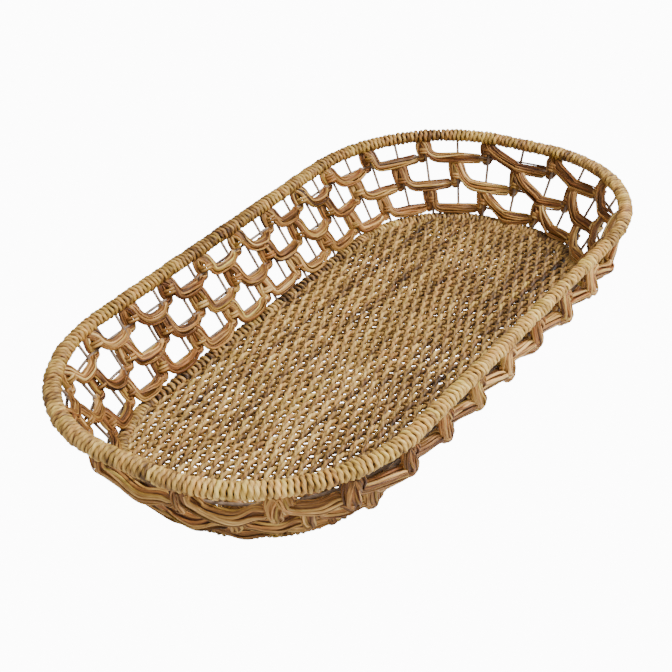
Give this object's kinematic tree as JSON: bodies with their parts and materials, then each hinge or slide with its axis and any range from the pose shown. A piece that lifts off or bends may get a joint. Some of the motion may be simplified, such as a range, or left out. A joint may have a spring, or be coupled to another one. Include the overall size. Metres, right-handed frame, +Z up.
{
  "type": "bread basket",
  "caption": "Long shallow open basket with a cord-wound seagrass rim, an openwork wall of strand swags hitched to a wire frame, and a flat woven base",
  "frame": {"origin": "on the table under the middle of the basket, at the bottom centre of its box", "axes": "+X along the length, +Y across the width, +Z up out of the open top"},
  "size_m": [0.46, 0.257, 0.066],
  "materials": {
    "seagrass_rim": "pale tan twisted seagrass cord, satin, wound close",
    "seagrass_base": "tan twisted seagrass cord, woven",
    "seagrass_wall": "reddish brown to olive seagrass strands, loosely bundled",
    "frame_wire": "dark brown painted iron wire, satin"
  },
  "bodies": {
    "root": {"rim_core": "seagrass_rim", "rim_wrap": "seagrass_rim", "base_edge_wrap": "seagrass_base", "odd_weft_cords": "seagrass_base", "even_weft_cords": "seagrass_base", "upper_swags": "seagrass_wall", "upper_hitches": "seagrass_wall", "middle_swags": "seagrass_wall", "middle_hitches": "seagrass_wall", "lower_swags": "seagrass_wall", "lower_hitches": "seagrass_wall", "rim_ring_wire": "frame_wire", "base_ring_wire": "frame_wire", "upper_row_wire": "frame_wire", "middle_row_wire": "frame_wire", "lower_row_wire": "frame_wire", "upright_wires": "frame_wire", "base_cross_wires": "frame_wire"}
  },
  "joints": []
}
